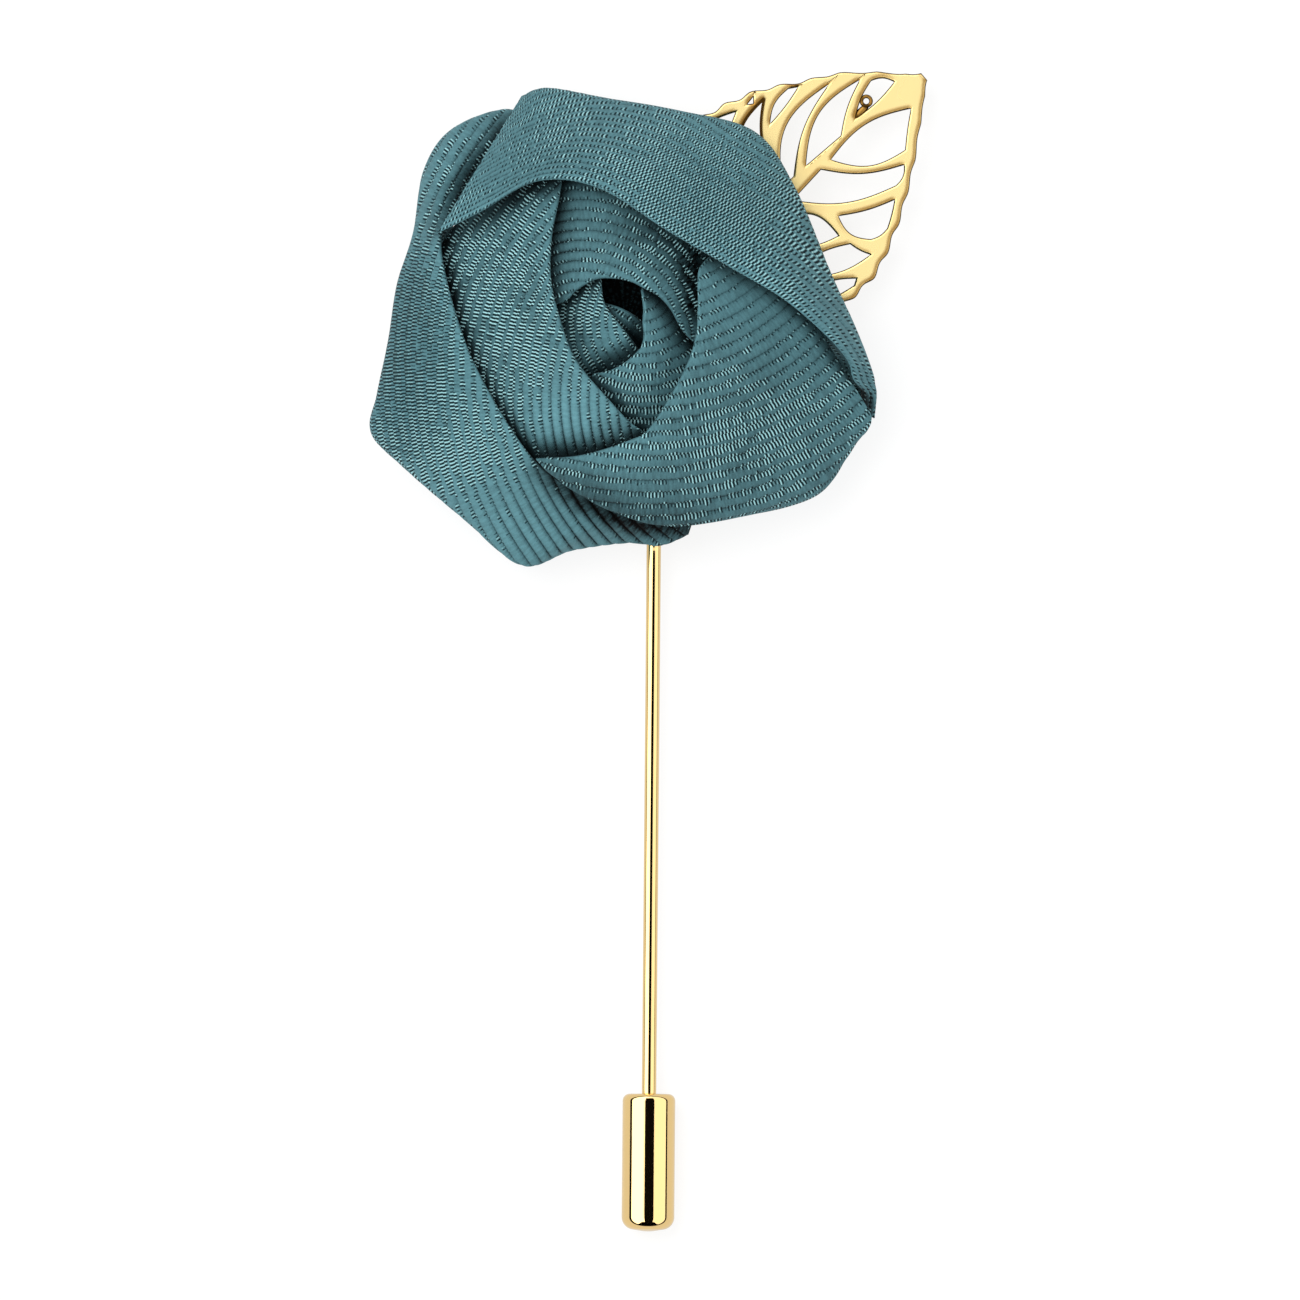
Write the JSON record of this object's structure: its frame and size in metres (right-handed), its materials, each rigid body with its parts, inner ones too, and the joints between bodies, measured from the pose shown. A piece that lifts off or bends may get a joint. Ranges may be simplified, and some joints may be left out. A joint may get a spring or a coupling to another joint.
{
  "type": "lapel pin",
  "caption": "Stick lapel pin with a folded ribbon rose, a pierced metal leaf behind it, a straight shaft and a barrel cap that pulls off the point.",
  "frame": {"origin": "on the shaft's axis, level with the rose's lower edge; the pin lies on its back and the table is 2.2 mm below the origin", "axes": "+X to the right seen from the front, +Y along the shaft towards the top of the rose, +Z out of the rose's face"},
  "size_m": [0.046, 0.097, 0.017],
  "materials": {
    "ribbon": "ribbed grosgrain with a slight sheen",
    "leaf_metal": "polished, gold plated",
    "pin_metal": "polished, gold plated"
  },
  "bodies": {
    "pin": {"petal_top": "ribbon", "petal_left": "ribbon", "petal_right": "ribbon", "petal_inner_left": "ribbon", "petal_inner_top": "ribbon", "bud_left": "ribbon", "bud_right": "ribbon", "bud_core": "ribbon", "rose_base": "ribbon", "leaf": "leaf_metal", "stick_pin": "pin_metal"},
    "cap": {"pin_cap": "pin_metal"}
  },
  "joints": [
    {"name": "cap_slide", "type": "slide", "parent": "pin", "child": "cap", "axis": [0, -1, 0], "range_m": [0, 0.02]}
  ]
}
